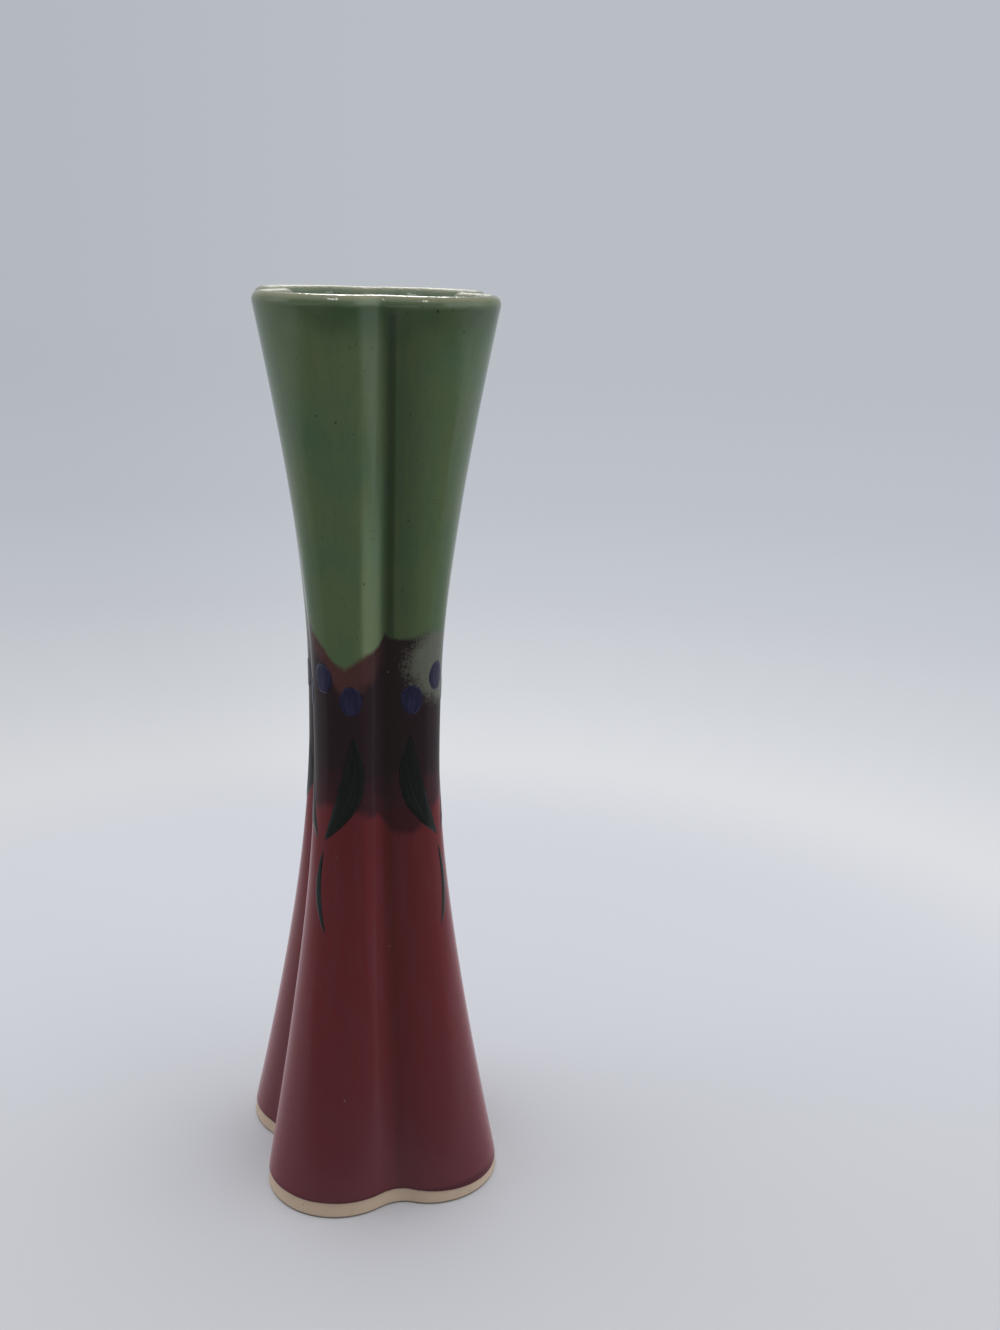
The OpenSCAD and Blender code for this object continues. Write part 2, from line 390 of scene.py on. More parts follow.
# %% Helpers for the trees
WANDER = 5.0 * MM          # how far a dip line wanders up or down
WANDER_REACH = 15 * MM     # how far above and below the line the rows follow it
FOOT_TONGUES = ((0.52, 0.42, -1.25), (1.6, 0.5, -0.9), (2.4, 0.4, -0.5), (3.15, 0.35, -0.9))
FOOT_REACH = 7 * MM


def new_tree(name, labels):
    """An empty geometry tree with named number inputs, and a bench and wires for them."""
    tree = bpy.data.node_groups.new(name, "GeometryNodeTree")
    tree.is_modifier = True
    tree.interface.new_socket("Geometry", in_out="INPUT", socket_type="NodeSocketGeometry")
    for label in labels:
        tree.interface.new_socket(label, in_out="INPUT", socket_type="NodeSocketFloat")
    tree.interface.new_socket("Material", in_out="INPUT", socket_type="NodeSocketMaterial")
    tree.interface.new_socket("Geometry", in_out="OUTPUT", socket_type="NodeSocketGeometry")
    bench = Bench(tree)
    given = bench.node("NodeGroupInput", output="Geometry")
    return bench, {label: given.output(label) for label in ["Geometry", "Material", *labels]}


def named(bench, name):
    """A number that is stored on the points under a name."""
    return bench.node("GeometryNodeInputNamedAttribute", {"data_type": "FLOAT"}, {"Name": name})


def stored(geometry, name, value, domain="POINT"):
    settings = {"data_type": "FLOAT", "domain": domain}
    sockets = {"Geometry": geometry, "Name": name, "Value": value}
    return geometry.bench.node("GeometryNodeStoreNamedAttribute", settings, sockets)


def smooth_but_corners(geometry, corner=radians(38)):
    """Smooth shading, except over edges that turn by more than the corner angle."""
    node = geometry.bench.node
    sharp = 1.0 - (node("GeometryNodeInputMeshEdgeAngle") < corner)
    faces, edges = {0: geometry, 2: True}, {1: sharp, 2: False}
    edges[0] = node("GeometryNodeSetShadeSmooth", {"domain": "FACE"}, faces)
    return node("GeometryNodeSetShadeSmooth", {"domain": "EDGE"}, edges)


def hand_over(geometry, material):
    """The tree's last nodes: real geometry, its material, and the way out."""
    node = geometry.bench.node
    real = node("GeometryNodeRealizeInstances", None, {0: geometry})
    dressed = node("GeometryNodeSetMaterial", None, {"Geometry": real, "Material": material})
    node("NodeGroupOutput", None, {0: dressed})


print("a dip line wanders by up to", WANDER / MM, "mm")

# %% The tree for the coats and the clay
SHOULDER_HIGHLIGHT = ((-6.6 * MM, -5.2 * MM), (-2.4 * MM, -1.2 * MM))    # the shoulder beside each crease, with a painted highlight where the glaze also ran thin
POOLED_AND_SHADED_FLANK = ((-0.5 * MM, 0.5 * MM), (1.0 * MM, 11.0 * MM))           # the flank past each crease, with painted shade and some gathered glaze
SEAM_GAP = 2e-6
# The waves' noise: the radius and the height of its ring, and its detail.
LOW_WAVE, HIGH_WAVE, FOOT_WAVE = (1.15, 7.3, 1.5), (1.35, 2.1, 2.0), (2.6, 5.2, 2.0)


def wandering(sizes, way, height):
    """The height of a row after the dip lines and the foot line have wandered."""
    def nearness(line, reach):
        return (height - line).maths("ABSOLUTE").fall(0.0, reach)

    low_wave = ring_noise(sizes, way, *LOW_WAVE) - 0.5
    high_wave = ring_noise(sizes, way, *HIGH_WAVE) - 0.5
    foot_wave = (ring_noise(sizes, way, *FOOT_WAVE) - 0.5) * 0.5
    foot_shift = nearness(SLAB, FOOT_REACH) * (foot_wave + tongues(ring_of(way), FOOT_TONGUES))
    low_shift = nearness(sizes["Crossing low"], WANDER_REACH) * low_wave
    high_shift = nearness(sizes["Crossing high"], WANDER_REACH) * high_wave
    return height + (low_shift + high_shift) * (2 * WANDER) + foot_shift * MM


def layer_tree():
    bench, given = new_tree("Lobed layer", ["Around", "Wander", *SIZES])
    profile = bench.node("GeometryNodeMeshToCurve", None, {0: given["Geometry"]})
    ring = bench.node("GeometryNodeCurvePrimitiveCircle", None, {"Resolution": given["Around"]})
    ring = stored(ring, "way", bench.node("GeometryNodeSplineParameter", output="Factor") * 4.0)
    skin = bench.node("GeometryNodeCurveToMesh", None, {"Curve": ring, "Profile Curve": profile})
    way, row = named(bench, "way"), named(bench, "height")
    height = given["Wander"].blend(row, wandering(given, way, row))
    arcs = outline_arcs(given, height)
    part = way_parts(given, arcs, way)
    past = groove_distance(given, arcs, part, way)
    depth = named(bench, "depth") + hand_hollow(given, way, height, past)
    depth = depth - named(bench, "outer") * crossing_swell(given, height)
    place = skin_place(given, arcs, part, height, depth, named(bench, "shrink"))
    ring_x, ring_y = ring_of(way)
    kept = {
        "from_groove": past.maths("ABSOLUTE") * 1000.0,
        "shoulder": past.rise(*SHOULDER_HIGHLIGHT[0]) * past.fall(*SHOULDER_HIGHLIGHT[1]),
        "lee": past.rise(*POOLED_AND_SHADED_FLANK[0]) * past.fall(*POOLED_AND_SHADED_FLANK[1]),
        "round_x": ring_x,
        "round_y": ring_y,
    }
    for name, value in kept.items():
        skin = stored(skin, name, value)
    skin = bench.node("GeometryNodeSetPosition", None, {"Geometry": skin, "Position": place})
    closing = {"Geometry": skin, "Distance": SEAM_GAP}
    skin = bench.node("GeometryNodeMergeByDistance", None, closing)
    hand_over(smooth_but_corners(skin), given["Material"])
    return bench.tree


LAYER_TREE = layer_tree()
print("the layer tree has", len(LAYER_TREE.nodes), "nodes")

# %% [markdown]
# ## The tree that lays brush marks on the lobes
# A brush leaves thin marks that follow the lobe. A mark is drawn flat first, as if on paper:
# sideways, upwards, and a small lift off the glaze. The tree sets four copies, one for each
# lobe, and wraps them onto the same outline rule that the coats use. A copy that sits on an odd
# quarter is a mirror image, so its faces are flipped to point outwards again.

# %% The tree for the brush marks
def marks_tree():
    bench, given = new_tree("Brushed marks", [*SIZES])
    spots = bench.node("GeometryNodeMeshLine", None, {"Count": 4, "Offset": (0.0, 0.0, 0.0)})
    sockets = {"Points": spots, "Instance": given["Geometry"]}
    copies = bench.node("GeometryNodeInstanceOnPoints", None, sockets)
    copies = stored(copies, "quarter", bench.node("GeometryNodeInputIndex"), "INSTANCE")
    flat = bench.node("GeometryNodeRealizeInstances", None, {0: copies})
    quarter = named(bench, "quarter")
    spot = bench.node("GeometryNodeInputPosition")
    side, lift, height = (spot.axis(name) for name in "XYZ")
    arcs = outline_arcs(given, height)
    round_len = arcs.lobe * (arcs.front + arcs.side + pi / 2)
    mirrored = quarter.maths("FLOORED_MODULO", 2.0)
    share = (1.0 - given["Groove share"] * 2.0) / round_len
    way = quarter + 0.5 + side * (1.0 - mirrored * 2.0) * share
    part = way_parts(given, arcs, way)
    past = groove_distance(given, arcs, part, way)
    depth = hand_hollow(given, way, height, past) - crossing_swell(given, height) - lift
    place = skin_place(given, arcs, part, height, depth)
    laid = bench.node("GeometryNodeSetPosition", None, {"Geometry": flat, "Position": place})
    sockets = {"Mesh": laid, "Selection": mirrored > 0.5}
    turned = bench.node("GeometryNodeFlipFaces", None, sockets)
    hand_over(smooth_but_corners(turned, radians(60)), given["Material"])
    return bench.tree


MARKS_TREE = marks_tree()
print("the marks tree has", len(MARKS_TREE.nodes), "nodes")

# %% [markdown]
# ## From a profile to a finished piece
# A tree needs a mesh to start from and a modifier to run on. The helper below makes both, sets
# the modifier's inputs by their identifiers, reads the result as a plain mesh and throws the
# modifier away. It also measures the piece: a closed skin whose faces point outwards encloses
# a positive volume, so a negative one means that the faces have to be turned.

# %% Helpers that run a tree and measure the piece
def start_mesh(name, points, edges, faces, numbers):
    mesh = bpy.data.meshes.new(name)
    mesh.from_pydata(points, edges, faces)
    for label, values in numbers.items():
        mesh.attributes.new(label, "FLOAT", "POINT").data.foreach_set("value", values)
    return mesh


def enclosed(mesh):
    """The volume inside a closed mesh, in cubic metres."""
    mesh.calc_loop_triangles()
    total = 0.0
    for triangle in mesh.loop_triangles:
        a, b, c = (mesh.vertices[i].co for i in triangle.vertices)
        total += a.dot(b.cross(c)) / 6
    return total


def run_tree(name, mesh, tree, inputs, material):
    """A finished piece at the origin: the tree's result as a plain mesh, facing outwards."""
    draft = bpy.data.objects.new(name + "_draft", mesh)
    scene.collection.objects.link(draft)
    modifier = draft.modifiers.new("tree", "NODES")
    modifier.node_group = tree
    inputs = {**inputs, "Material": material}
    for item in tree.interface.items_tree:
        if item.in_out == "INPUT" and item.name in inputs:
            modifier[item.identifier] = inputs[item.name]
    depsgraph = bpy.context.evaluated_depsgraph_get()
    result = bpy.data.meshes.new_from_object(draft.evaluated_get(depsgraph))
    bpy.data.objects.remove(draft)
    piece = bpy.data.objects.new(name, result)
    scene.collection.objects.link(piece)
    if enclosed(result) < 0:
        result.flip_normals()
    result.name = name
    print(f"{name}: {len(result.loop_triangles)} triangles, {enclosed(result) * 1e6:.2f} cm3")
    return piece


def layer(name, profile, material, body="root", wander=1.0, around=280, closed=True):
    """A layer of the wall from a profile of [height, depth, outer, shrink] points."""
    count = len(profile)
    points = [(point[1], 0.0, point[0]) for point in profile]
    edges = [(i, i + 1) for i in range(count - 1)] + ([(count - 1, 0)] if closed else [])
    names = ("height", "depth", "outer", "shrink")
    numbers = {label: [float(point[k]) for point in profile] for k, label in enumerate(names)}
    mesh = start_mesh(name + "_profile", points, edges, [], numbers)
    inputs = {**SIZES, "Around": float(around), "Wander": float(wander)}
    piece = run_tree(name, mesh, LAYER_TREE, inputs, material)
    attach(piece, body)
    return piece


print("pieces can be made from", [LAYER_TREE.name, MARKS_TREE.name])

# %% [markdown]
# ## The camera of the photograph
# The camera stands a little above the mouth and looks down at the vase from close by, which
# makes the foot look narrower than it is. Its place and its lens come from fitting the outline
# of the rule above to the outline in the photograph, so they are written down as measured.

# %% Camera
CAMERA_PLACE = Vector((-0.0554, -0.2959, 0.2102))
CAMERA_TURN = radians(-15.94)
CAMERA_DOWN = radians(16.65)
CAMERA_ROLL = radians(-1.65)
SENSOR = 36.0
PHOTO_HEIGHT = 1330
FOCAL_PIXELS = 1413.8

turned = Matrix.Rotation(CAMERA_TURN, 3, "Z")
level_right = turned @ Vector((1, 0, 0))
level_up = turned @ Vector((0, sin(CAMERA_DOWN), cos(CAMERA_DOWN)))
forward = turned @ Vector((0, cos(CAMERA_DOWN), -sin(CAMERA_DOWN)))
right = cos(CAMERA_ROLL) * level_right - sin(CAMERA_ROLL) * level_up
up = sin(CAMERA_ROLL) * level_right + cos(CAMERA_ROLL) * level_up
camera_data = bpy.data.cameras.new("photo_camera")
camera_data.sensor_width = SENSOR
camera_data.lens = SENSOR * FOCAL_PIXELS / PHOTO_HEIGHT
camera = bpy.data.objects.new("photo_camera", camera_data)
camera_axes = Matrix((right, up, -forward)).transposed().to_4x4()
camera.matrix_world = Matrix.Translation(CAMERA_PLACE) @ camera_axes
scene.collection.objects.link(camera)
scene.camera = camera
BACK_OF_CAMERA = Vector((CAMERA_PLACE.x, CAMERA_PLACE.y, 0)).normalized()
SIDE_OF_CAMERA = Vector((-BACK_OF_CAMERA.y, BACK_OF_CAMERA.x, 0))
print("lens", round(camera_data.lens, 2), "mm,", round(CAMERA_PLACE.length, 3), "m from the foot")

# %% [markdown]
# ## The layers of the wall
# A potter would build the vase from the inside out: a flat slab for the foot, the clay wall on
# it, glaze poured in and out again, and then the two dips. The profiles below follow that
# order. They could be cut from one solid, but separate layers let each finish stop where the
# real one stops: at the bare foot, at the dip lines and on the crest of the lip.

# %% Stretches that a profile is made of
def rows(low, high, step=1.4 * MM, edge=0.05 * MM):
    """Heights from low to high, with one row close to each end to hold the shading there."""
    count = max(2, round((high - low) / step))
    inner = [low + (high - low) * k / count for k in range(1, count)]
    return [low, low + edge, *inner, high - edge, high]


def at_depth(heights, depth, outer=0.0):
    return [[height, depth, outer, 1.0] for height in heights]


def lip_arc(radius, start, end, outer=0.0, steps=14):
    """Part of the lip's round, by angle from the outside over the crest to the inside."""
    angles = [radians(start + (end - start) * k / steps) for k in range(steps + 1)]
    return [[LIP_Z + radius * sin(a), LIP_MID - radius * cos(a), outer, 1.0] for a in angles]


def corner_round(height, depth, radius, steps=6):
    """A quarter round, from an upright face at the depth down to a level one at the height."""
    bends = [radians(90 * k / steps) for k in range(steps + 1)]
    return [[height + radius * (1 - sin(a)), depth + radius * (1 - cos(a)), 0.0, 1.0]
            for a in bends]


def level_face(height, depth, steps=4):
    """A level face from the axis out, without its outermost point."""
    return [[height, depth, 0.0, k / steps] for k in range(steps)]


print("a coat's rows lie about 1.4 mm apart, as in", [round(z / MM, 1) for z in rows(0, 6 * MM)])

# %% Profiles of the clay and the glazes
POOL = 1.6 * MM            # the glaze gathers to this radius where the wall meets the floor


def slab_profile():
    """The foot slab's section, from the axis below to the axis above, with a sponged edge."""
    below = level_face(0.0, CLAY_OUT + SLAB_BEVEL) + corner_round(0.0, CLAY_OUT, SLAB_BEVEL)[::-1]
    side = at_depth(rows(SLAB_BEVEL, SLAB, step=0.5 * MM)[1:], CLAY_OUT)
    return below + side + level_face(SLAB, CLAY_OUT)[::-1]


def wall_profile():
    heights = rows(SLAB, LIP_Z)
    lip = lip_arc(WALL / 2, 0, 180)
    return at_depth(heights, CLAY_OUT) + lip[1:-1] + at_depth(heights[::-1], CLAY_IN)


def lining_profile():
    """The glaze poured in: up the clay, over the lip's inside, down again and over the floor."""
    up_clay = level_face(SLAB, CLAY_IN) + at_depth(rows(SLAB, LIP_Z), CLAY_IN)[:-1]
    crest = lip_arc(WALL / 2, 180, 90) + lip_arc(LIP_MID, 90, 180)
    down = at_depth(rows(FLOOR_Z + POOL, LIP_Z)[::-1], BORE)[1:]
    pool = corner_round(FLOOR_Z, BORE, POOL, 8)[1:]
    return up_clay + crest + down + pool + level_face(FLOOR_Z, BORE + POOL, 6)[::-1]


def red_profile():
    """The lower dip, which ends in a round bead over the bare edge of the slab."""
    bead = corner_round(SLAB, 0.0, GLAZE)[::-1]
    outside = at_depth(rows(SLAB + GLAZE, DIP_LOW)[1:], 0.0, 1.0)
    return bead + outside + at_depth(rows(SLAB, DIP_LOW)[::-1], CLAY_OUT)[:-1]


def crossing_profile():
    heights = rows(DIP_LOW, DIP_HIGH)
    return at_depth(heights, 0.0, 1.0) + at_depth(heights[::-1], CLAY_OUT)


def green_profile():
    """The upper dip, which ends on the crest of the lip."""
    heights = rows(DIP_HIGH, LIP_Z)
    lip = lip_arc(LIP_MID, 0, 90, 1.0)[1:] + lip_arc(WALL / 2, 90, 0)[:-1]
    return at_depth(heights, 0.0, 1.0) + lip + at_depth(heights[::-1], CLAY_OUT)


print("the wall's section has", len(wall_profile()), "points, the lining's", len(lining_profile()))

# %% [markdown]
# ## What every fired surface shares
# Glaze is glass over clay. It has a smooth but never quite flat surface, small iron specks that
# bleed up from the clay, and slow changes of tone where it ran or pooled. All patterns below
# read the place on the object in millimetres, or a number that the tree stored on the skin, so
# they stay where they are from every side. They could be painted as pictures, but rules stay
# sharp at any distance.

# %% Tools for the finishes
def new_material(name):
    material = bpy.data.materials.new(name)
    material.use_nodes = True
    material.node_tree.nodes.clear()
    return material, Bench(material.node_tree)


def place_in_mm(bench):
    spot = bench.node("ShaderNodeTexCoord", output="Object")
    return bench.vector_maths("MULTIPLY", spot, (1000.0, 1000.0, 1000.0))


def attribute(bench, name):
    return bench.node("ShaderNodeAttribute", {"attribute_name": name}, None, "Fac")


def stretched(place, across, along):
    """The place with its scale changed sideways and upwards."""
    return place.bench.vector_maths("MULTIPLY", place, (across, across, along))


def streaks(place, across, along, detail=3.0):
    """Noise in streaks that run down."""
    return place.bench.noise(stretched(place, across, along), 1.0, detail)


def specks(place, spacing, size, share, shift=(0.0, 0.0, 0.0)):
    """1 inside a small share of round dots, one to each cell of the spacing, in millimetres."""
    bench = place.bench
    moved = bench.vector_maths("ADD", place, shift)
    cell = bench.node("ShaderNodeTexVoronoi", None, {"Vector": moved, "Scale": 1 / spacing})
    chance = bench.node("ShaderNodeSeparateColor", None, {0: cell.output("Color")})
    radius = size / spacing * (0.4 + chance.output("Green"))
    return (cell / radius).fall(0.5, 1.0) * (chance.output("Red") < share)


def finish_with(material, colour, roughness, height_mm, ior=1.5, alpha=None, bloom=None):
    """Ends a material in one Principled shader, with its relief given in millimetres."""
    bench = colour.bench
    relief = {"Strength": 1.0, "Distance": MM, "Height": height_mm}
    bump = bench.node("ShaderNodeBump", None, relief)
    sockets = {"Base Color": colour, "Roughness": roughness, "Normal": bump, "IOR": ior}
    if alpha is not None:
        sockets["Alpha"] = alpha
    if bloom:
        sockets.update({"Sheen Weight": 0.28, "Sheen Roughness": 0.5, "Sheen Tint": (*bloom, 1.0)})
    shader = bench.node("ShaderNodeBsdfPrincipled", None, sockets)
    bench.node("ShaderNodeOutputMaterial", None, {"Surface": shader})
    return material


print("finishing tools are ready")

# %% [markdown]
# ## The dipped glazes
# The green, the plum and the red are one continuous skin on the real vase. Their borders are
# soft and mottled, and follow the wandering dip lines, so all three materials work out the
# whole skin's colour by one function and differ in their gloss alone. Near the lip the glaze
# thins to a pale edge with a brown crest, under it the glaze is at its thickest and darkest.
# Each groove is darker in its crease and on the flank past it, painted shade with some gathered
# glaze, and lighter on the shoulder beside it, a painted highlight where the glaze also ran thin.

# %% Where the tones change
# A tongue is its way round the outline, its half width in quarters, and its rise. A patch has
# its middle height and its reach in millimetres and its strength in place of the rise.
HIGH_TONGUES = (
    (3.66, 0.42, -8.0), (3.25, 0.35, 8.0), (1.40, 0.50, -6.0), (2.15, 0.35, 4.0),
    (2.72, 0.35, -5.0),
)
LOW_TONGUES = (
    (3.60, 0.40, 1.5), (0.25, 0.35, -6.0), (0.80, 0.35, 7.0), (1.50, 0.45, -4.0),
    (2.30, 0.35, 5.0),
)
RUSTY = ((3.60, 0.60, 0.9), (1.45, 0.70, 0.8), (2.75, 0.50, 0.7))
PATCHES = (
    (0.76, 0.56, 124.5, 12.0, 0.92), (1.85, 0.40, 124.0, 7.0, 0.45), (2.95, 0.34, 126.0, 7.5, 0.55),
)
# Each tone comes in or goes out between two heights in millimetres.
PLUM_BORDER, GREEN_BORDER = (89.9, 92.3), (130.0, 131.8)
LOW_PLUM, RUST = (93.0, 101.0), (124.0, 128.5)
LOWER_RED, UPPER_RED, HEM = (10.0, 50.0), (55.0, 85.0), (3.5, 4.5)
DARK_RING, PALE_LIP, BROWN_CREST = (187.0, 196.0), (197.3, 198.9), (198.9, 199.6)
# The painted highlight on each shoulder comes in and fades between the first two heights, and the
# painted shade in each crease ends between the last two.
HIGHLIGHT_FROM, HIGHLIGHT_LESS, POOL_AND_SHADE_TO = (15.0, 70.0), (146.0, 170.0), (196.0, 198.5)
LIP_RIPPLE, CREST_RIPPLE = (197.0, 199.0), (199.0, 199.8)
CREASE_POOL_AND_SHADE = (0.3, 2.0)   # how far the painted shade reaches from the crease, also in millimetres
# Specks have a spacing and a size in millimetres, a share of the cells, and a shift.
IRON_SPECKS = (3.1, 0.30, 0.36)
FLECKS = (3.7, 0.24, 0.16, (7.3, 1.9, 4.1))
PINHOLES = (1.5, 0.19, 0.45, (3.7, 8.3, 0.9))
print(len(HIGH_TONGUES) + len(LOW_TONGUES), "tongues and", len(PATCHES), "olive patches")

# %% The tones
GREEN_MID = (0.086, 0.126, 0.057)
GREEN_DEEP = (0.070, 0.118, 0.060)
GREEN_OLIVE = (0.101, 0.132, 0.056)
GREEN_RING = (0.034, 0.064, 0.028)
# The painted shade in each crease, where some glaze also gathered.
GREEN_POOL_AND_SHADE = (0.012, 0.024, 0.009)
LIP_GREEN = (0.120, 0.160, 0.085)
LIP_BROWN = (0.190, 0.195, 0.100)
IRON = (0.012, 0.012, 0.006)
FLECK = (0.160, 0.200, 0.130)
PLUM = (0.022, 0.012, 0.014)
PLUM_RUST = (0.080, 0.033, 0.028)
PLUM_RED = (0.050, 0.013, 0.018)
PLUM_OLIVE = (0.122, 0.130, 0.098)
RED_MID = (0.114, 0.020, 0.022)
RED_BRIGHT = (0.104, 0.018, 0.020)
RED_DEEP = (0.105, 0.026, 0.032)
RED_HEM = (0.016, 0.005, 0.010)
# These make the shoulder beside each crease lighter: a painted highlight, where the glaze also ran
# thin.
THIN_HIGHLIGHT_GAIN, THIN_HIGHLIGHT_LIFT = (1.95, 1.80, 2.00), (0.006, 0.005, 0.007)


def green_colour(place, height):
    noise = place.bench.noise
    wobble = (noise(place, 0.16) - 0.5) * 3.0
    colour = noise(place, 0.05).rise(0.35, 0.65).tint(GREEN_DEEP, GREEN_MID)
    colour = (streaks(place, 0.30, 0.022).rise(0.45, 0.70) * 0.55).tint(colour, GREEN_OLIVE)
    colour = (noise(place, 0.45, detail=3.0).rise(0.5, 0.8) * 0.3).tint(colour, GREEN_OLIVE)
    colour = (streaks(place, 1.1, 0.012).rise(0.45, 0.70) * 0.11).tint(colour, GREEN_RING)
    ring = (height + wobble * 2.0).rise(*DARK_RING) * noise(place, 0.045).rise(0.38, 0.62)
    colour = (ring * 0.8).tint(colour, GREEN_RING)
    colour = (height + wobble * 0.3).rise(*PALE_LIP).tint(colour, LIP_GREEN)
    return (height + wobble * 0.2).rise(*BROWN_CREST).tint(colour, LIP_BROWN)


def plum_colour(place, row, ring, border):
    """Dark where both coats are thick, rusty under the green's edge and redder further down."""
    noise = place.bench.noise
    slow = noise(place, 0.085, distortion=0.4) - 0.5
    blot = noise(place, 0.5, detail=3.0) - 0.5
    grain = noise(place, 2.2, roughness=0.7) - 0.5
    colour = ((row + slow * 24.0).fall(*LOW_PLUM) * 0.7).tint(PLUM, PLUM_RED)
    rust = (row - border + slow * 10.0 + blot * 5.0).rise(*RUST) * tongues(ring, RUSTY)
    colour = rust.tint(colour, PLUM_RUST)
    for way, half, middle, reach, strength in PATCHES:
        away, tall = turn_from(ring, way) / half, (row - middle) / reach
        edge = (away * away + tall * tall).maths("SQRT") + blot * 0.25 + grain * 0.5
        colour = (edge.fall(0.72, 1.0) * (strength + grain * 0.9)).tint(colour, PLUM_OLIVE)
    return colour


def red_colour(place, height):
    slow = place.bench.noise(place, 0.06) - 0.5
    colour = (height + slow * 50.0).rise(*LOWER_RED).tint(RED_DEEP, RED_MID)
    colour = (height + slow * 30.0).rise(*UPPER_RED).tint(colour, RED_BRIGHT)
    colour = (streaks(place, 0.45, 0.03).rise(0.42, 0.70) * 0.6).tint(colour, RED_DEEP)
    return (height.fall(*HEM) * 0.5).tint(colour, RED_HEM)


print("the lip is", LIP_BROWN, "and the pool and painted shade in a groove", GREEN_POOL_AND_SHADE)

# %% The colour of the whole dipped skin
def skin_colour(place, height):
    """Green over plum over red, by the row that a point had before the dip lines wandered."""
    bench = place.bench
    row = attribute(bench, "height") * 1000.0
    ring = attribute(bench, "round_x"), attribute(bench, "round_y")
    grain = bench.noise(place, 1.1, detail=3.0, roughness=0.65) - 0.5
    blot = bench.noise(place, 0.28, detail=1.0) - 0.5
    ragged = row + grain * 0.9 + blot * 2.0
    border = tongues(ring, HIGH_TONGUES, soft=False)
    plum = (ragged - tongues(ring, LOW_TONGUES)).rise(*PLUM_BORDER)
    colour = plum.tint(red_colour(place, height), plum_colour(place, row, ring, border))
    green = (ragged - border).rise(*GREEN_BORDER)
    colour = green.tint(colour, green_colour(place, height))
    # Painted shade: each crease and the flank past it turn darker, with some gathered glaze there
    # too.
    pool_and_shade = attribute(bench, "from_groove").fall(*CREASE_POOL_AND_SHADE)
    pool_and_shade = pool_and_shade.maths("MAXIMUM", attribute(bench, "lee") * 0.48) * height.fall(*POOL_AND_SHADE_TO)
    colour = (pool_and_shade * (green * 0.55 + 0.15)).tint(colour, GREEN_POOL_AND_SHADE)
    # Painted highlight: the shoulder beside each crease is lighter, where the glaze also ran thin.
    thin = bench.vector_maths("MULTIPLY_ADD", colour, THIN_HIGHLIGHT_GAIN, THIN_HIGHLIGHT_LIFT)
    thin_and_highlight = attribute(bench, "shoulder") * (green * 0.75 + 0.17) * height.rise(*HIGHLIGHT_FROM)
    colour = (thin_and_highlight * (1.0 - height.rise(*HIGHLIGHT_LESS) * 0.68)).tint(colour, thin)
    colour = (specks(place, *FLECKS) * 0.5).tint(colour, FLECK)
    colour = (specks(place, *PINHOLES) * (green * 0.45 + 0.05)).tint(colour, IRON)
    return (specks(place, *IRON_SPECKS) * (green * 0.6 + 0.2)).tint(colour, IRON)


def glaze(name, roughness, ior, ripple, bloom=None):
    """A glossy coat of the dipped skin, with the faint ripple and the gloss of its own glaze."""
    material, bench = new_material(name)
    place = place_in_mm(bench)
    height = place.axis("Z")
    gloss = roughness + (bench.noise(place, 0.12) - 0.5) * 0.06
    relief = bench.noise(place, 0.42) * ripple
    relief = relief + height.rise(*LIP_RIPPLE) * bench.noise(place, 1.1) * 0.07
    relief = relief + height.rise(*CREST_RIPPLE) * bench.noise(place, 1.9) * 0.07
    return finish_with(material, skin_colour(place, height), gloss, relief, ior, bloom=bloom)


green_glaze = glaze("green_glaze", 0.10, 1.50, 0.012)
plum_glaze = glaze("plum_glaze", 0.12, 1.42, 0.014)
red_glaze = glaze("red_glaze", 0.18, 1.32, 0.012, bloom=(0.72, 0.07, 0.10))
print("glazes:", [(m.name, len(m.node_tree.nodes)) for m in (green_glaze, plum_glaze, red_glaze)])

# %% [markdown]
# ## The glaze inside the vase
# The inside was glazed by pouring the same green in and out. It is paler and a little duller
# on the lip, where it ran thin, and grows darker towards the floor. A plain copy of the outer
# green would do, but it would lack the darker floor and the drips.

# %% Lining glaze
DARK_TOWARDS_FLOOR, DULL_LIP, INNER_RIPPLE = (4.0, 30.0), (198.6, 199.7), (194.0, 199.0)


def lining_material():
    material, bench = new_material("lining_glaze")
    place = place_in_mm(bench)
    height = place.axis("Z")
    drip = streaks(place, 0.35, 0.02, detail=2.0)
    colour = (drip.rise(0.45, 0.75) * 0.5).tint(green_colour(place, height), GREEN_DEEP)
    # The inside turns darker towards its floor.
    colour = (height.fall(*DARK_TOWARDS_FLOOR) * 0.7).tint(colour, GREEN_RING)
    dull = height.rise(*DULL_LIP) * 0.26
    relief = bench.noise(place, 0.42) * 0.016
    relief = relief + height.rise(*INNER_RIPPLE) * bench.noise(place, 1.1) * 0.13
    return finish_with(material, colour, 0.13 + drip * 0.05 + dull, relief)


lining_glaze = lining_material()
print("lining glaze:", len(lining_glaze.node_tree.nodes), "nodes")

# %% [markdown]
# ## The bare clay
# The foot was wiped clean of glaze before the firing, so that the vase would not stick to the
# kiln shelf. What shows is pale buff stoneware: matt, finely grained, with a few dark specks,
# a faint warm flash just under the glaze, and a painted contact shadow along its bottom edge.

# %% Clay
CLAY = (0.533, 0.405, 0.298)
# The colour of the painted contact shadow along the foot's bottom edge.
CLAY_CONTACT_SHADOW = (0.100, 0.080, 0.055)
CLAY_DARK = (0.400, 0.315, 0.225)
CLAY_FLASH = (0.400, 0.260, 0.150)
CLAY_SPECK = (0.09, 0.06, 0.04)
FLASH, CONTACT_SHADOW_EDGE = (2.9, 3.8), (0.2, 0.7)     # heights in millimetres


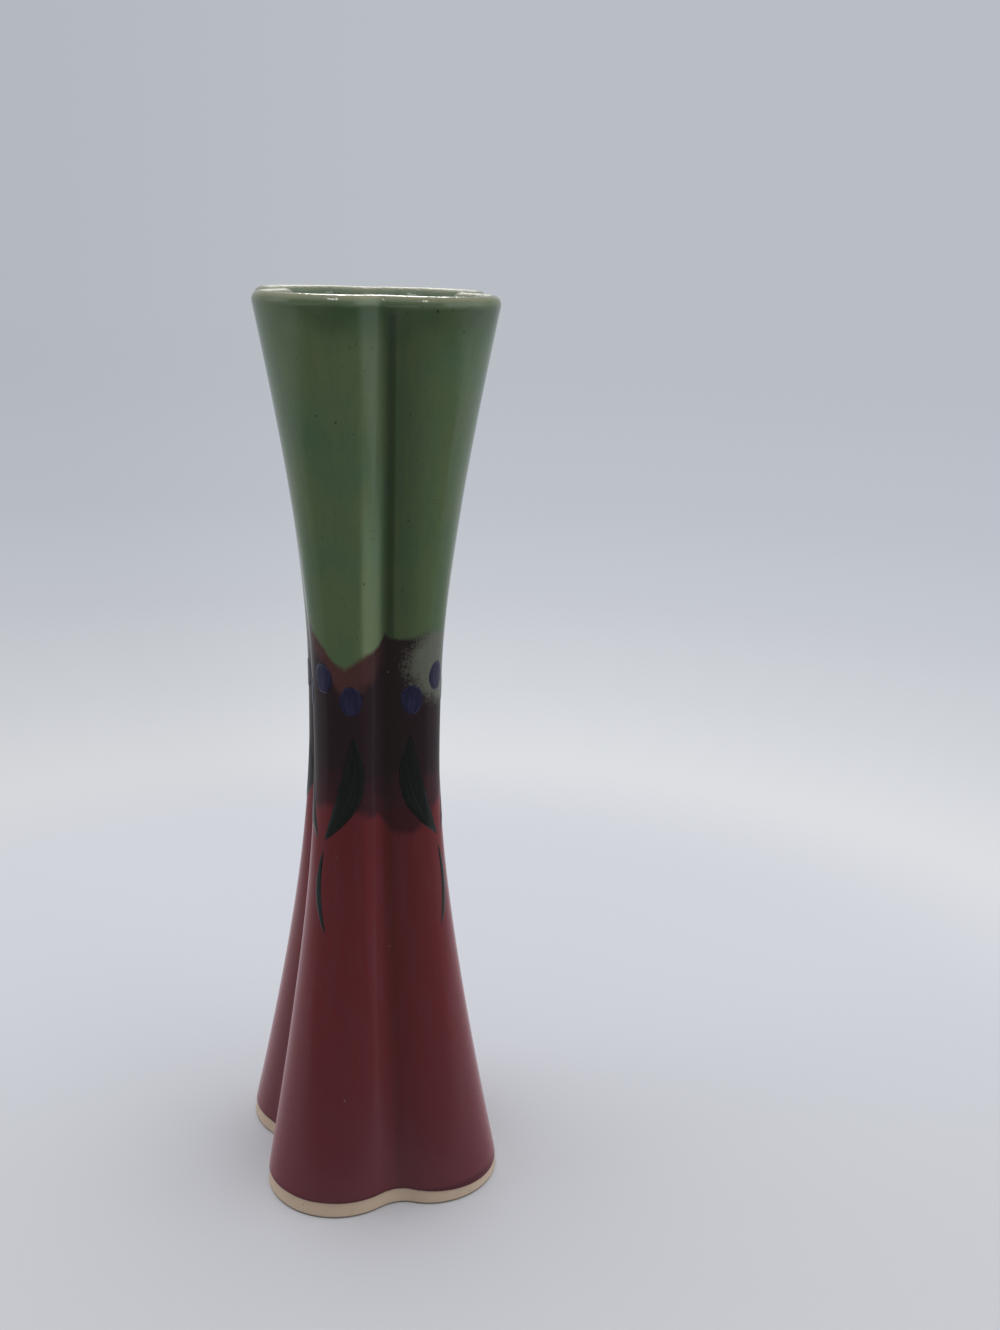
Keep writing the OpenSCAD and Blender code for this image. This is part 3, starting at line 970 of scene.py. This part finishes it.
def clay_material():
    material, bench = new_material("bare_clay")
    place = place_in_mm(bench)
    height = place.axis("Z")
    grain = bench.noise(place, 3.2, detail=4.0, roughness=0.7)
    cloud = bench.noise(place, 0.22)
    colour = (grain.rise(0.42, 0.75) * 0.35).tint(CLAY, CLAY_DARK)
    colour = (cloud.rise(0.5, 0.8) * 0.3).tint(colour, CLAY_DARK)
    flash = (height + (cloud - 0.5) * 0.8).rise(*FLASH)
    colour = (flash * 0.25).tint(colour, CLAY_FLASH)
    # Painted contact shadow: the foot's bottom edge is darkened where it meets the floor.
    contact_shadow = (height + (grain - 0.5) * 0.3).fall(*CONTACT_SHADOW_EDGE)
    colour = (contact_shadow * 0.85).tint(colour, CLAY_CONTACT_SHADOW)
    colour = (specks(place, 1.3, 0.16, 0.3) * 0.7).tint(colour, CLAY_SPECK)
    return finish_with(material, colour, 0.72 + grain * 0.2, grain * 0.06)


bare_clay = clay_material()
print("clay:", len(bare_clay.node_tree.nodes), "nodes")

# %% [markdown]
# ## Making the layers
# Each layer rides on the vase's one body, replaces the CAD solid of the same name and takes the
# finish listed beside it. The table also names that solid's slot in the record.

# %% Foot, wall and coats
LAYERS = (
    ("foot_slab", slab_profile(), False, 0.0, bare_clay, "bare_clay"),
    ("clay_wall", wall_profile(), True, 0.0, bare_clay, "bare_clay"),
    ("lining_glaze", lining_profile(), False, 0.0, lining_glaze, "green_glaze"),
    ("red_glaze", red_profile(), True, 1.0, red_glaze, "red_glaze"),
    ("overlap_glaze", crossing_profile(), True, 1.0, plum_glaze, "plum_glaze"),
    ("green_glaze", green_profile(), True, 1.0, green_glaze, "green_glaze"),
)
for node, profile, closed, wander, material, slot in LAYERS:
    piece = layer(node + "_fired", profile, material, wander=wander, closed=closed)
    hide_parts(node)

# %% [markdown]
# ## The brushwork
# On every lobe stands a plain sprig: a stem, a long leaf and a short leaf in black, and three
# blue berries above them. They were laid wet into the glaze, so they are thin in relief, full
# in the middle of a stroke and broken at its tail, where the brush ran dry.

# %% One flat stroke
STATIONS = 26
TOP_SHARES, UNDER_SHARES = [-1 + k / 6 for k in range(13)], (0.6, 0.0, -0.6)
MARK_LIFT = 0.12 * MM
MARK_SINK = 0.10 * MM
RIM_SINK = 0.02 * MM       # a stroke's rim starts just under the glaze
TAIL_WIDTH = 0.08          # a stroke never gets narrower than this share of its width


def add_stroke(points, faces, numbers, start, end, bow, width, fullness):
    """Adds one brush stroke between two places on the flat sheet, bowed sideways."""
    length = hypot(end[0] - start[0], end[1] - start[1])
    along = ((end[0] - start[0]) / length, (end[1] - start[1]) / length)
    across = (along[1], -along[0])
    first = len(points)
    ring = [(share, 1 - share ** 4) for share in TOP_SHARES]
    ring += [(share, None) for share in UNDER_SHARES]
    for k in range(STATIONS + 1):
        part = (1 - cos(pi * k / STATIONS)) / 2
        swell = max(sin(pi * part) ** fullness, TAIL_WIDTH)
        shift = bow * sin(pi * part)
        lifted = (MARK_LIFT + RIM_SINK) * min(1, swell * 2)
        middle = [start[i] + (end[i] - start[i]) * part + across[i] * shift for i in (0, 1)]
        for share, dome in ring:
            side, height = (middle[i] + across[i] * share * swell * width / 2 for i in (0, 1))
            points.append((side, -MARK_SINK if dome is None else lifted * dome - RIM_SINK, height))
            numbers["along"].append(part)
            numbers["across"].append(share)
    count = len(ring)
    for k in range(STATIONS):
        for i in range(count):
            a, b = first + k * count + i, first + k * count + (i + 1) % count
            faces.append((a, b, b + count, a + count))
    faces.append(tuple(first + i for i in reversed(range(count))))
    faces.append(tuple(first + STATIONS * count + i for i in range(count)))


print("a stroke has", STATIONS + 1, "stations of", len(TOP_SHARES) + len(UNDER_SHARES), "points")

# %% The strokes of one lobe
JOINT = (0.0, 84 * MM)      # where a stem ends and its two leaves begin
STEM_LENGTH, STEM_WIDTH = 19 * MM, 1.9 * MM
LONG_LEAF, SHORT_LEAF = 25 * MM, 18 * MM
LEAF_WIDTH, LEAF_REACH, LEAF_FULLNESS = 6 * MM, 6.5 * MM, 0.95
BERRY_HEIGHT, BERRY_DROP, BERRY_STEP = 121 * MM, 4.5 * MM, 6.4 * MM
BERRY_LENGTH, BERRY_WIDTH = 6.8 * MM, 5.4 * MM


def sprig():
    """The black strokes: a stem, a long leaf and a short leaf from one joint."""
    made = ([], [], {"along": [], "across": []})
    top, bow, leaf = JOINT[1] - STEM_WIDTH, LEAF_WIDTH / 2, (LEAF_WIDTH, LEAF_FULLNESS)
    add_stroke(*made, (-STEM_WIDTH, top - STEM_LENGTH), (0.0, top), STEM_WIDTH, STEM_WIDTH, 0.7)
    add_stroke(*made, JOINT, (-LEAF_REACH, JOINT[1] + LONG_LEAF), -bow, *leaf)
    add_stroke(*made, (STEM_WIDTH, JOINT[1]), (LEAF_REACH, JOINT[1] + SHORT_LEAF), bow, *leaf)
    return made


def berries():
    """Three blue dabs in an arc."""
    made = ([], [], {"along": [], "across": []})
    for place in (-1, 0, 1):
        side, height = place * BERRY_STEP, BERRY_HEIGHT - abs(place) * BERRY_DROP
        ends = [(side, height + way * BERRY_LENGTH / 2) for way in (-1, 1)]
        add_stroke(*made, *ends, 0.0, BERRY_WIDTH, 0.5)
    return made


print("the leaves reach", round((JOINT[1] + LONG_LEAF) / MM), "mm high")

# %% [markdown]
# ## The brushed pigments
# Black iron and blue cobalt both melt a little into the glaze. The stroke's middle is dense,
# its rim is soft, and streaks of the coat below show through where the brush dragged.

# %% Pigments
def pigment(name, dense, thin, cover):
    material, bench = new_material(name)
    place = place_in_mm(bench)
    along, across = attribute(bench, "along"), attribute(bench, "across")
    drawn = bench.vector(across * 5.0, along * 1.2, 0.0)
    drawn = bench.vector_maths("ADD", drawn, stretched(place, 0.05, 0.05))
    streak = bench.noise(drawn, 1.0, detail=3.0)
    grain = bench.noise(place, 2.2, roughness=0.7) - 0.5
    colour = (streak + grain * 0.2).rise(0.45, 0.7).tint(dense, thin)
    rim = (across.maths("ABSOLUTE") + grain * 0.2).fall(0.82, 1.0)
    tails = (along + grain * 0.04).rise(0.0, 0.05) * (along + grain * 0.05).fall(0.93, 1.0)
    dry = 1.0 - along.rise(0.6, 1.0) * streak.rise(0.5, 0.65) * 0.7
    alpha = rim * tails * dry * cover
    relief = bench.noise(place, 0.5) * 0.02
    return finish_with(material, colour, 0.175 + grain * 0.05, relief, alpha=alpha)


black_pigment = pigment("black_pigment", (0.006, 0.008, 0.008), (0.016, 0.020, 0.015), 0.97)
blue_pigment = pigment("blue_pigment", (0.014, 0.013, 0.040), (0.024, 0.022, 0.060), 0.95)
print("pigments:", black_pigment.name, blue_pigment.name)

# %% Lay the strokes on the lobes
for node, (points, faces, numbers), material, slot in (
    ("black_leaves", sprig(), black_pigment, "black_pigment"),
    ("blue_berries", berries(), blue_pigment, "blue_pigment"),
):
    sheet = start_mesh(node + "_sheet", points, [], faces, numbers)
    piece = run_tree(node + "_fired", sheet, MARKS_TREE, SIZES, material)
    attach(piece, "root")
    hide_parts(node)

# %% [markdown]
# ## The floor
# The photograph stands the vase on a pale sheet that rises behind it with no visible edge. A
# flat disc gives the same look from every side: near the vase it is a plain pale surface that
# takes the soft shadow, with painted shade towards the camera, and farther out it glows with the
# backdrop's tones to the camera and the gloss, a painted light brightest in a band close in.

# %% Floor
FLOOR_RADIUS = 3.2
BACKDROP_RADIUS = 2.2      # the backdrop's last tone lies this far out
# A painted light: the backdrop's glowing tones, brightest in a band close in and dimmer farther
# out.
BACKDROP_GLOW = (
    (0.0, (0.60, 0.62, 0.65)), (0.12, (0.72, 0.735, 0.765)), (0.17, (0.64, 0.66, 0.70)),
    (0.25, (0.56, 0.585, 0.63)), (0.40, (0.51, 0.54, 0.595)), (0.70, (0.49, 0.52, 0.575)),
    (1.0, (0.485, 0.515, 0.555)),
)
PAPER, PAPER_FRONT_SHADE = (0.635, 0.635, 0.665), (0.600, 0.590, 0.605)
PAPER_SHADE_TURNS = (-0.10, 0.09)            # towards the camera, from the lit tone to the painted shade
FADE = (0.17, 0.27)                    # from the sheet that is lit to the backdrop's painted glow
GLOSS_NEAR, GLOSS_FAR = 0.35, 1.00     # how bright the gloss shows the sheet and what lies past
GLOSS_FADE = (0.30, 0.52)
LEFT_SHADE = 0.93                      # the left of the backdrop is a little dimmer
LEFT_FADE = (-0.3, 0.05)


def left_shade(aside, away):
    """The brightness of the backdrop in a direction, from its two reaches."""
    return (aside / away.maths("MAXIMUM", 0.01)).rise(*LEFT_FADE).blend(LEFT_SHADE, 1.0)


def floor_material():
    material, bench = new_material("pale_sheet")
    spot = bench.node("ShaderNodeTexCoord", output="Object")
    flat = bench.vector_maths("MULTIPLY", spot, (1.0, 1.0, 0.0))
    ahead, aside = bench.along(flat, BACK_OF_CAMERA), bench.along(flat, SIDE_OF_CAMERA)
    radius = bench.vector_maths("LENGTH", flat, output="Value")
    outward = (radius / BACKDROP_RADIUS).maths("MINIMUM", 1.0)
    tone = bench.node("ShaderNodeValToRGB", {"stops": BACKDROP_GLOW}, {0: outward})
    # Painted shade: the sheet is a little darker towards the camera.
    sheet = ahead.rise(*PAPER_SHADE_TURNS).tint(PAPER, PAPER_FRONT_SHADE)
    paper = bench.node("ShaderNodeBsdfDiffuse", None, {"Color": sheet})
    ray = bench.node("ShaderNodeLightPath")
    glossy, through = ray.output("Is Glossy Ray"), ray.output("Is Transmission Ray")
    mirrored = radius.rise(*GLOSS_FADE).blend(GLOSS_NEAR, GLOSS_FAR)
    strength = glossy.blend(left_shade(aside, radius), mirrored)
    # Painted light: farther out the sheet glows with the backdrop's tones for the camera and the
    # gloss.
    glow = bench.node("ShaderNodeEmission", None, {"Color": tone, "Strength": strength})
    far = radius.rise(*FADE) * ray.maths("MAXIMUM", glossy).maths("MAXIMUM", through)
    mixed = bench.node("ShaderNodeMixShader", None, {0: far, 1: paper, 2: glow})
    bench.node("ShaderNodeOutputMaterial", None, {"Surface": mixed})
    return material


def disc(name, radius, around=96):
    turns = [2 * pi * k / around for k in range(around)]
    points = [(radius * cos(turn), radius * sin(turn), 0.0) for turn in turns]
    made = bpy.data.objects.new(name, start_mesh(name, points, [], [tuple(range(around))], {}))
    scene.collection.objects.link(made)
    return made


floor = disc("pale_floor", FLOOR_RADIUS)
floor.data.materials.append(floor_material())
print("floor radius", FLOOR_RADIUS, "m")

# %% [markdown]
# ## The light
# The photograph was taken in a light tent: pale cloth on all sides but the front, where the
# room behind the camera is darker. That is why the lobes are bright at their sides and deep in
# colour at their middles. The world below is such a tent, bright to the sides, behind and
# above, and dim in front. One could set lamps about the vase, but they would show as spots in
# the gloss, where the photograph shows broad soft sheets of light.

# %% World
SKY = (0.485, 0.515, 0.555)
TENT = (0.97, 1.0, 1.04)
BACK_LEVEL, SIDE_LEVEL, TOP_LEVEL = 0.5, 1.2, 1.1
ROOM_LEVEL = 0.12                      # what the gloss shows of the room behind the camera
ROOM_LIGHT = 0.05                      # what that room adds to the light on the matt side
SIDE_LIGHT, BACK_LIGHT = 1.75, 1.3     # what the bright sides and back add to it
ROOM_LEFT, ROOM_RIGHT = (radians(-74), radians(-64)), (radians(32), radians(38))
ROOM_TOP = (0.45, 0.75)
BACK_TO_SIDE, SIDE_TO_TOP = (-0.45, 0.1), (0.1, 0.7)


def tent_world():
    world = bpy.data.worlds.new("light_tent")
    world.use_nodes = True
    world.node_tree.nodes.clear()
    bench = Bench(world.node_tree)
    ray = bench.node("ShaderNodeLightPath")
    glossy = ray.output("Is Glossy Ray")
    way = bench.node("ShaderNodeTexCoord", output="Generated")
    ahead, aside = bench.along(way, BACK_OF_CAMERA), bench.along(way, SIDE_OF_CAMERA)
    turn, height = aside.maths("ARCTAN2", ahead), way.axis("Z")
    room = turn.rise(*ROOM_LEFT) * turn.fall(*ROOM_RIGHT) * height.fall(*ROOM_TOP)
    side = glossy.blend(SIDE_LIGHT, SIDE_LEVEL)
    behind = glossy.blend(BACK_LIGHT, BACK_LEVEL)
    cloth = ahead.rise(*BACK_TO_SIDE).blend(behind, side)
    cloth = (height + ahead * 0.5).rise(*SIDE_TO_TOP).blend(cloth, TOP_LEVEL)
    level = room.blend(cloth, glossy.blend(ROOM_LIGHT, ROOM_LEVEL))
    tent = bench.node("ShaderNodeBackground", None, {"Color": (*TENT, 1.0), "Strength": level})
    away = bench.vector_maths("LENGTH", bench.vector(ahead, aside, 0.0), output="Value")
    plain = {"Color": (*SKY, 1.0), "Strength": left_shade(aside, away)}
    sky = bench.node("ShaderNodeBackground", None, plain)
    mixed = bench.node("ShaderNodeMixShader", None, {0: ray, 1: tent, 2: sky})
    bench.node("ShaderNodeOutputWorld", None, {"Surface": mixed})
    return world


scene.world = tent_world()
scene.view_settings.view_transform = "Standard"
print("tent level from", BACK_LEVEL, "behind to", TOP_LEVEL, "above, and the room's", ROOM_LEVEL)

# %% [markdown]
# ## What the gloss sees
# A glossy glaze shows its surroundings as in a dark mirror. In front of the sheet lay the dark
# floor of the room, and that is why the middle of each lobe is deep in colour, with a pale
# strip beside the groove where the mirror turns to the bright side. The card below stands for
# that dark floor. A small bright window high behind the camera gives the points of light under
# the lip, and a lit strip behind the vase gives the bright line along its crest. All three are
# seen by reflections alone, so they change no shadow and no view of the floor.

# %% Cards for the reflections
DARK_START, DARK_END = 0.035, 3.1      # the dark floor, from the foot towards the camera
DARK_LEFT, DARK_RIGHT = -0.42, 0.46
DARK_FADE = 0.06
EDGE_SOFT, EDGE_SPREAD = 0.03, 0.35    # its sides are softer the farther they are
CARD_TINT = (1.0, 0.98, 0.95, 1.0)
LIGHT_CARDS = {            # turn, rise, how far away, how wide, how tall, and how bright
    "small_window": (radians(-5), radians(55), 1.0, 0.10, 0.35, 14.0),
    "back_strip": (radians(180), radians(34), 1.0, 0.24, 0.40, 10.0),
}


def card(name, corners, level, soft_edge=False):
    """A flat card that only glossy reflections can see."""
    mesh = start_mesh(name, corners, [], [tuple(range(len(corners)))], {})
    made = bpy.data.objects.new(name, mesh)
    scene.collection.objects.link(made)
    material, bench = new_material(name)
    shader = bench.node("ShaderNodeEmission", None, {"Color": CARD_TINT, "Strength": level})
    if soft_edge:
        spot = bench.node("ShaderNodeTexCoord", output="Object")
        ahead, aside = bench.along(spot, BACK_OF_CAMERA), bench.along(spot, SIDE_OF_CAMERA)
        soft = EDGE_SOFT + ahead * EDGE_SPREAD
        inside = ((aside - DARK_LEFT) / soft).maths("MINIMUM", (DARK_RIGHT - aside) / soft)
        inside = inside.rise(0.0, 1.0) * ahead.rise(DARK_START, DARK_START + DARK_FADE)
        clear = bench.node("ShaderNodeBsdfTransparent")
        shader = bench.node("ShaderNodeMixShader", None, {0: inside, 1: clear, 2: shader})
    bench.node("ShaderNodeOutputMaterial", None, {"Surface": shader})
    mesh.materials.append(material)
    made.visible_camera = made.visible_diffuse = made.visible_shadow = False
    made.visible_transmission = made.visible_volume_scatter = False
    return made


def from_camera(ahead, aside, height):
    """A place given by its way towards the camera, to the camera's right, and up."""
    return tuple(ahead * BACK_OF_CAMERA + aside * SIDE_OF_CAMERA + Vector((0, 0, height)))


def light_card(name, turn, rise, away, wide, tall, level):
    """A bright card that faces the mouth, by its turn to the camera's right and its rise."""
    towards = Vector(from_camera(cos(rise) * cos(turn), cos(rise) * sin(turn), sin(rise)))
    middle = Vector((0, 0, SIZES["Height"])) + away * towards
    level_edge = towards.cross(Vector((0, 0, 1))).normalized()
    steep_edge = level_edge.cross(towards).normalized()
    corners = [tuple(middle + a * wide / 2 * level_edge + b * tall / 2 * steep_edge)
               for a, b in ((-1, -1), (1, -1), (1, 1), (-1, 1))]
    return card(name, corners, level)


near = [from_camera(DARK_START, side, 1 * MM) for side in (DARK_LEFT, DARK_RIGHT)]
far = [from_camera(DARK_END, side, 1 * MM) for side in (DARK_RIGHT, DARK_LEFT)]
cards = [card("dark_floor", near + far, ROOM_LEVEL, soft_edge=True)]
cards += [light_card(name, *placing) for name, placing in LIGHT_CARDS.items()]
print("cards that only the gloss sees:", [made.name for made in cards])
